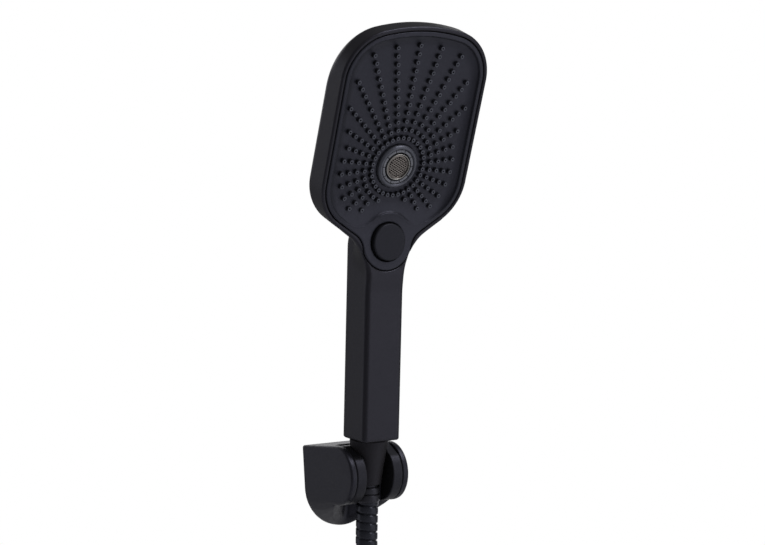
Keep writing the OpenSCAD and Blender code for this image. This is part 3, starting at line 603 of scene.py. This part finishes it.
def plate_solid(p):
    front = front_of_plate(p)
    d = rmax(front, seam(p) + 0.25, 0.8)
    d = smax(d, -front - PLATE_THICK, 0.4)
    hole = np.hypot(p[:, 0], p[:, 2] - BUTTON_Z) - BUTTON_HOLE_R
    d = rmax(d, -hole, 0.5)
    q = to_head(p)
    return rmax(d, OUTLET_HOLE_R - np.hypot(q[:, 0], q[:, 2]), 0.3)


def casing_solid(p):
    d = smin(handle_and_neck(p), head_body(p), 2.5)
    recess = np.maximum(seam(p) - 0.2, -3.4 - front_of_plate(p))
    well_depth = np.maximum(LOBE_Y - p[:, 1] - 5, p[:, 1] + 8)
    well = np.maximum(np.hypot(p[:, 0], p[:, 2] - BUTTON_Z) - WELL_R, well_depth)
    d = rmax(d, -recess, 0.8)
    return np.maximum(d, -well)


FINE = 0.75  # cell size of the nets
v, f = nets(casing_solid, (-55.5, -57, -3), (55.5, 17.6, 265.5), FINE)
casing = build("casing_shell", v, f, M["casing"], "handset", hand)
place(casing, "casing", "rear_casing")
v, f = nets(plate_solid, (-52, -56, 104), (52, -8, 261), FINE * 0.8)
plate = build("plate_shell", v, f, M["face"], "handset", hand)
place(plate, "face", "face_plate")

# nozzles: one rubber moulding, with nubs in spokes. SPOKES counts them from the top spoke downwards.
SPOKES = [12, 12, 12, 10, 8, 6, 5, 5, 5, 5, 5, 5, 4, 2, 1, 1]
SPOKE_TURN, FIRST_NUB_R, NUB_STEP = 12 * RAD, 18.8, 5.4
NUB_H = 2.3
nub = [(1.72, -0.6), (1.72, 0.0), (1.36, NUB_H), (0.5, NUB_H), (0.42, 1.2), (0.0, 1.3)]
nv, nf = lathe(soften(nub, 0.2, 3), 14, "y")
verts, faces = [], []
for k in range(-14, 16):
    for j in range(SPOKES[abs(k)]):
        r, a = FIRST_NUB_R + NUB_STEP * j, SPOKE_TURN * k
        off = len(verts) * len(nv)
        verts.append(nv + [r * math.sin(a), 0, r * math.cos(a)])
        faces += [tuple(i + off for i in q) for q in nf]
nozzles = build("nozzle_nubs", np.concatenate(verts), faces, M["nozzle_rubber"], "handset", head)
place(nozzles, "nozzle_rubber", "nozzle_mat")
# the flat tips of the nubs take the lighter rubber: a painted highlight
nozzles.data.materials.append(M["nozzle_tip"])
tip_face = [nv[list(q), 1].max() < 0.25 - NUB_H for q in nf]
for polygon in nozzles.data.polygons:
    polygon.material_index = int(tip_face[polygon.index % len(nf)])

# the outlet in the middle of the face
prof = soften([(11.3, -1.0), (11.3, 1.7), (11.9, 2.6), (12.9, 2.6), (14.1, 1.4), (14.1, -1.0)], 0.5)
bv, bf = lathe(prof, 96, "y")
bezel = build("bezel_ring", bv, bf, M["bezel"], "handset", head)
place(bezel, "bezel", "centre_bezel")
prof = soften([(8.9, -2.4), (9.4, -2.4), (9.4, 2.0), (10.85, 2.0), (11.2, 1.6), (11.2, -2.0)], 0.25)
SEGMENTS, SEGMENT_STEPS, HALF_GAP = 10, 12, 1.4
SEGMENT_TURN = 360 / SEGMENTS
sv, sf = [], []
m = len(prof)
for k in range(SEGMENTS):
    a0, a1 = (SEGMENT_TURN * k + HALF_GAP) * RAD, (SEGMENT_TURN * (k + 1) - HALF_GAP) * RAD
    base = len(sv)
    for t in range(SEGMENT_STEPS + 1):
        a = a0 + (a1 - a0) * t / SEGMENT_STEPS
        sv += [(r * math.cos(a), -h, r * math.sin(a)) for r, h in prof]
    for t in range(SEGMENT_STEPS):
        here, there = base + t * m, base + (t + 1) * m
        sf += [(here + i, here + i + 1, there + i + 1, there + i) for i in range(m - 1)]
    sf.append(tuple(base + i for i in range(m))[::-1])
    sf.append(tuple(base + SEGMENT_STEPS * m + i for i in range(m)))
segs = build("outlet_segments", sv, sf, M["segments"], "handset", head, sharp=40)
place(segs, "segments", "segment_ring")
prof = soften([(7.75, -1.9), (7.75, 2.2), (7.95, 2.45), (8.25, 2.45), (8.45, 2.1), (8.45, -1.9)], 0.12)
rv, rf = lathe(prof, 72, "y")
rim = build("outlet_rim", rv, rf, M["bright_rim"], "handset", head)
place(rim, "bright_rim", "mesh_rim")


def mesh_sheet(pitch, rings, radius, r_hole, thick, z):
    """A sheet of hexagons, each with a round hole that has a bevelled edge."""
    verts, faces = [], []
    n = 12
    for i in range(-rings, rings + 1):
        for j in range(-rings, rings + 1):
            cy, cx = pitch * (i + j / 2), pitch * j * math.sqrt(3) / 2
            if math.hypot(cx, cy) > radius:
                continue
            base = len(verts)
            for k in range(n):
                a = -2 * math.pi * k / n
                edge = pitch / 2 / math.cos((a + math.pi / 6) % (math.pi / 3) - math.pi / 6)
                loops = ((edge, 0), (r_hole * 1.25, 0), (r_hole, -0.14), (r_hole * 0.94, -thick))
                verts += [(cx + r * math.sin(a), -z - h, cy + r * math.cos(a)) for r, h in loops]
            for k in range(n):
                k2 = (k + 1) % n
                here, there = base + 4 * k, base + 4 * k2
                faces += [(here + m, here + m + 1, there + m + 1, there + m) for m in range(3)]
    return verts, faces


sv, sf = mesh_sheet(pitch=1.62, rings=6, radius=6.35, r_hole=0.5, thick=0.55, z=1.75)
sheet = build("outlet_mesh", sv, sf, M["mesh"], "handset", head)
place(sheet, "mesh", "mesh_disc")
edge_v, edge_f = lathe([(6.6, 1.68), (7.75, 1.68), (7.8, 1.0)], 72, "y")
build("mesh_border", edge_v, edge_f, M["mesh"], "handset", head)
# a near-black disc behind the mesh: painted shade, seen through its holes
back_v, back_f = lathe([(0.0, 0.7), (8.2, 0.7)], 48, "y")
build("mesh_back", back_v, back_f, M["seam"], "handset", head)

# ---------------------------------------------------------------- button
TOP_Y = 2.6 - LOBE_Y
prof = [(0.0, TOP_Y), (9.0, TOP_Y), (11.05, TOP_Y), (11.7, TOP_Y - 0.65), (11.7, 13.5), (10.3, 13.5)]
cap_v, cap_f = lathe(soften(prof), 96, "y")
cap = build("button_face", cap_v + [0, 0, BUTTON_Z], cap_f, M["button"], "button", hand)
place(cap, "button", "button_cap")

# ---------------------------------------------------------------- cone nut and ferrules
prof = [
    (10.6, -2.02), (11.7, -2.02), (12.28, -2.6), (8.55, -30.4),
    (7.9, -31.1), (6.7, -31.1), (6.5, -30.3), (6.5, -26),
]
cone_v, cone_f = lathe(soften(prof, 0.45), 96)
cone = build("cone_shell", cone_v, cone_f, M["cone"], "handset", hand)
place(cone, "cone", "cone_nut")


def ferrule_profile(top, length):
    """A crimped sleeve: a band at its upper end, a groove under it, and a barrel with a rolled end."""
    low = top - length
    band = [(6.2, top - 0.05), (7.2, top - 0.05), (7.6, top - 0.5), (7.6, top - 3.7)]
    groove = [(6.7, top - 4.1), (6.7, top - 4.5)]
    barrel = [(7.75, top - 4.9), (7.75, low + 1.3), (7.4, low + 0.5), (6.4, low + 0.05)]
    return soften(band + groove + barrel, 0.3)


collar = [(6.08, -29.9), (6.35, -30.1), (6.35, -32.9)]
fer_v, fer_f = lathe(collar + ferrule_profile(-33.0, 10.0), 72)
ferrule = build("ferrule_sleeve", fer_v, fer_f, M["ferrule"], "hose_top", hand)
place(ferrule, "ferrule", "hose_ferrule")

END = np.array(END_ROUTE[-1], float)
END_TURN = math.atan2(5, -11)
C_END, S_END = math.cos(END_TURN), math.sin(END_TURN)


def at_end(p):
    """From a frame at the hose's far end, with z pointing on past that end, to the world's."""
    x, y, z = np.asarray(p, float).T
    return np.stack([C_END * x + S_END * z, y, C_END * z - S_END * x], -1) + END


fer_v, fer_f = lathe(ferrule_profile(12.0, 12.0), 72)
end_sleeve = build("end_sleeve", fer_v, fer_f, M["ferrule"], "hose", at_end)
place(end_sleeve, "ferrule", "end_ferrule")


THREAD_PITCH, THREAD_DEPTH, BORE_R, BORE_STEP, NUT_START = 1.81, 0.5, 9.45, 0.2, 12.3


def hex_nut(flats, length):
    """A hexagon nut with turned ends, a round collar and a thread in its bore."""
    collar = [(9.0, 0.05), (12.0, 0.05), (12.55, 0.6), (12.55, 2.6), (12.2, 3.1)]
    body = [(13.9, 4.3), (13.9, length - 1.2), (12.6, length - 0.1)]
    mouth = [(10.3, length - 0.1), (9.6, length - 0.8)]
    outer = collar + body + mouth
    turns = int((length - 1.4 - 6.4) / BORE_STEP)
    bore = [(BORE_R, length - 1.0 - k * BORE_STEP) for k in range(turns)]
    inner = [(BORE_R, 6.3), (9.8, 6.1), (9.8, 2.2), (6.7, 2.1), (6.55, 0.3)]
    rows = outer + bore + inner
    n = 120
    verts, faces = [], []
    for k in range(n):
        a = 2 * math.pi * k / n
        side = flats / 2 / math.cos(a % (math.pi / 3) - math.pi / 6)
        for m, (r, h) in enumerate(rows):
            if len(outer) <= m < len(outer) + len(bore):
                r += THREAD_DEPTH * abs(2 * ((h / THREAD_PITCH - a / (2 * math.pi)) % 1) - 1)
            verts.append((min(r, side) * math.cos(a), min(r, side) * math.sin(a), h + NUT_START))
    m = len(rows)
    for k in range(n):
        k2 = (k + 1) % n
        faces += [(k * m + i, k2 * m + i, k2 * m + i + 1, k * m + i + 1)[::-1] for i in range(m - 1)]
    return verts, faces


nut_v, nut_f = hex_nut(24, 18)
nut = build("wall_nut_body", nut_v, nut_f, M[SLOT_OF["end_nut"]], "wall_nut", at_end, sharp=35)
place(nut, SLOT_OF["end_nut"], "end_nut")

# strap that holds the stored turns together
half_strap = [(1.3, 2.3), (1.55, 2.6), (1.55, 4.1), (1.2, 4.45), (0.35, 4.45), (0, 4.1)]
strap = [(o, -h) for o, h in half_strap[::-1]] + half_strap
TIE_HALF_X, TIE_HALF_Y, TIE_CORNER, TIE_SIDES = 7.6, 28.15, 7.2, 96
tie_v, tie_f = [], []
for k in range(TIE_SIDES):
    a = 2 * math.pi * k / TIE_SIDES
    c, s = math.cos(a), math.sin(a)
    cx = (TIE_HALF_X - TIE_CORNER) * np.sign(c) - COIL_R
    cy = (TIE_HALF_Y - TIE_CORNER) * np.sign(s) + COIL_Y + COIL_DEPTH / 2
    tie_v += [(cx + (TIE_CORNER + o) * c, cy + (TIE_CORNER + o) * s, COIL_Z + h) for o, h in strap]
m = len(strap)
for k in range(TIE_SIDES):
    k2 = (k + 1) % TIE_SIDES
    tie_f += [(k * m + i, k2 * m + i, k2 * m + (i + 1) % m, k * m + (i + 1) % m) for i in range(m)]
tie = build("tie_strap", tie_v, tie_f, M["tie"], "hose", sharp=50)
place(tie, "tie", "coil_tie")

# ---------------------------------------------------------------- bracket
EDGE_R = 1.5
HALF_W, BRACKET_TOP, BRACKET_LOW, CRADLE_R = 26.0, 25.8, -28.2, 18.8
ARM_IN, ARM_OUT = 17.3, 21.7
LOW_Z = BRACKET_LOW + HALF_W  # the middle of the shield's round lower end
SCREW_Z, SCREW_WAY_R = 12, 5.2
SPREAD, POINTS_A_TIME = 2600, 6000


def bracket_directions():
    """Directions all round, with fine circles of them where the bracket is a cylinder or flat."""
    k = np.arange(SPREAD)
    z = 1 - (2 * k + 1) / SPREAD
    a = k * math.pi * (3 - math.sqrt(5))
    r = np.sqrt(1 - z * z)
    out = [np.stack([r * np.cos(a), r * np.sin(a), z], -1)]
    t = np.arange(0, 360, 1.0) * RAD
    out.append(np.stack([0 * t, np.cos(t), np.sin(t)], -1))
    out.append(np.stack([np.cos(t), 0 * t, np.sin(t)], -1))
    lean_in = math.atan2(HALF_W - ARM_OUT, 28.0)
    for tilt in (lean_in, 0.5 * lean_in):
        out.append([[math.cos(tilt), -math.sin(tilt), 0]])
    n = np.concatenate(out)
    return n[n[:, 0] >= -1e-9]


def support(n):
    """How far the bracket's outer shape reaches in each direction, less its edge radius."""
    x, y, z = np.abs(n[:, 0]), n[:, 1], n[:, 2]
    w = HALF_W - EDGE_R
    flat = np.maximum(LOW_Z * z + w * np.hypot(x, z), w * x + (BRACKET_TOP - EDGE_R) * z)
    shield = np.where(y < 0, -(4 - EDGE_R) * y, 2 * y) + flat
    arm = PIVOT[1] * y + PIVOT[2] * z + (CRADLE_R - EDGE_R) * np.hypot(y, z) + (ARM_OUT - EDGE_R) * x
    return np.maximum(shield, arm)


DIRECTIONS = bracket_directions().astype(np.float32)
REACH = support(DIRECTIONS).astype(np.float32)


def bracket_outside(p):
    """How far a point is outside the bracket's outer shape."""
    q = p.astype(np.float32).copy()
    q[:, 0] = np.abs(q[:, 0])
    out = np.empty(len(q), np.float32)
    for i in range(0, len(q), POINTS_A_TIME):
        out[i : i + POINTS_A_TIME] = (q[i : i + POINTS_A_TIME] @ DIRECTIONS.T - REACH).max(1)
    return out - EDGE_R


def parabola(x, y, tip, spread):
    """Roughly how far a point is inside a parabola that opens away from the wall."""
    t = tip - y
    g = x * x - spread * t
    return -g / np.sqrt(4 * x * x + spread * spread)


def shield_outline(p, inset):
    """How far a point is outside the shield's outline, drawn in by the inset."""
    x, z = np.abs(p[:, 0]), p[:, 2]
    half = HALF_W - inset
    round_ = np.hypot(x, z - LOW_Z) - half
    return np.where(z < LOW_Z, round_, np.maximum(x - half, z - BRACKET_TOP + inset))


def bracket_solid(p):
    x, y, z = np.abs(p[:, 0]), p[:, 1], p[:, 2]
    hull = bracket_outside(p)
    d = rmax(hull, y, 0.4)
    ry, rz = y - PIVOT[1], z - PIVOT[2]
    past_arm = np.hypot(ry, rz) - CRADLE_R - 0.1
    below = np.minimum(past_arm, -z - 2)
    bevel = parabola(x, y, -3.4, 20.0)
    d = rmax(d, np.minimum((hull + 0.8 * bevel) / 1.28, below), 0.4)
    tip = -5.4 - 0.3 * np.clip(z + 26, 0, 30)
    channel = parabola(x, y, tip, 7.6)
    d = rmax(d, np.minimum(channel, below), 0.6)
    seat = np.maximum(past_arm - 0.4, x - ARM_IN)
    d = rmax(d, -seat, 0.5)
    nut_way = np.maximum(np.maximum(np.hypot(ry, rz) - 20.8, x - 13.4), -rz)
    d = rmax(d, -nut_way, 0.6)
    plate_way = np.maximum(shield_outline(p, 3.0), -3.05 - y)
    d = np.maximum(d, -plate_way)
    for s in (-SCREW_Z, SCREW_Z):
        d = np.maximum(d, -np.maximum(np.hypot(p[:, 0], z - s) - SCREW_WAY_R, -7 - y))
    return d


v, f = nets(bracket_solid, (-27, -52.5, -30), (27, 1.5, 27.5), FINE * 0.9)
bracket = build("bracket_shell", v, f, M["bracket"], "bracket")
place(bracket, "bracket", "bracket_body")


FACET_TILT, FACET_AT = 26 * RAD, 17.4
MOUTH_R, MOUTH_LOW_R, MOUTH_TOP, MOUTH_LENGTH = 12.6, 8.8, 23.0, 30.6


def cradle_solid(p):
    """A drum with a flat facet on top and a cone-shaped mouth that is open towards the room."""
    x, y, z = np.abs(p[:, 0]), p[:, 1], p[:, 2]
    d = rmax(np.hypot(y, z) - CRADLE_R + 0.05, x - 17.0, 0.6)
    facet = z * math.cos(FACET_TILT) - y * math.sin(FACET_TILT) - FACET_AT
    d = rmax(d, facet, 0.4)
    slope = (MOUTH_R - MOUTH_LOW_R) / MOUTH_LENGTH
    r = np.clip(MOUTH_R + (z - MOUTH_TOP) * slope, MOUTH_LOW_R, MOUTH_R)
    d = rmax(d, r - np.hypot(x, y + 4), 0.5)
    d = rmax(d, -np.maximum(x - 10, y + 4), 0.5)
    return d


v, f = nets(cradle_solid, (-18.5, -20, -20), (18.5, 20, 20), FINE * 0.7)
cradle = build("cradle_body", v, f, M["cradle"], "cradle", cradle_frame)
place(cradle, "cradle", "cradle")


# ---------------------------------------------------------------- stage and light
sc = bpy.context.scene
sc.view_settings.view_transform = "Standard"
fl_me = bpy.data.meshes.new("floor")
FLOOR_R, FLOOR_Y, FLOOR_Z, FLOOR_SIDES = 0.9, -0.1, -0.32, 64
turns = [2 * math.pi * k / FLOOR_SIDES for k in range(FLOOR_SIDES)]
floor_v = [(FLOOR_R * math.cos(a), FLOOR_R * math.sin(a) + FLOOR_Y, FLOOR_Z) for a in turns]
fl_me.from_pydata(floor_v, [], [tuple(range(FLOOR_SIDES))])
floor = bpy.data.objects.new("floor", fl_me)
sc.collection.objects.link(floor)
floor.data.materials.append(finish_mat("floor_pale", (0.8, 0.8, 0.8), 0.6, var=0.01, tint=WHITE))

w = bpy.data.worlds.new("studio")
sc.world = w
w.use_nodes = True
wt = w.node_tree
bg = wt.nodes["Background"]
set_in(bg, "Color", (1, 1, 1, 1))
# the camera sees the background at full strength, and the pieces are lit by a faint one
path = wt.nodes.new("ShaderNodeLightPath")
rng = wt.nodes.new("ShaderNodeMapRange")
set_in(rng, "To Min", 0.14)
set_in(rng, "To Max", 1.0)
wt.links.new(path.outputs["Is Camera Ray"], rng.inputs["Value"])
wt.links.new(rng.outputs["Result"], bg.inputs["Strength"])


def softbox(name, at, aim, size, power):
    """A rectangular lamp, in metres and watts, that faces a point."""
    d = bpy.data.lights.new(name, "AREA")
    d.shape = "RECTANGLE"
    d.size, d.size_y = size
    d.energy = power
    o = bpy.data.objects.new(name, d)
    sc.collection.objects.link(o)
    o.location = at
    o.rotation_euler = (Vector(aim) - Vector(at)).to_track_quat("-Z", "Y").to_euler()


HANDSET_MIDDLE = (0, -0.06, 0.1)
softbox("front_box", (1.0, -1.5, -0.25), HANDSET_MIDDLE, (1.5, 1.9), 6.5)
softbox("back_left_box", (-0.95, 0.75, 0.15), HANDSET_MIDDLE, (0.7, 1.6), 1.5)
softbox("back_right_box", (1.02, 0.98, 0.1), HANDSET_MIDDLE, (0.95, 1.6), 4.6)
softbox("behind_box", (0.1, 1.7, 0.9), (0, 0, 0), (1.4, 1.0), 5)
softbox("floor_box", (0.7, -0.9, 1.3), (0.35, -0.45, FLOOR_Z), (0.9, 0.9), 11)
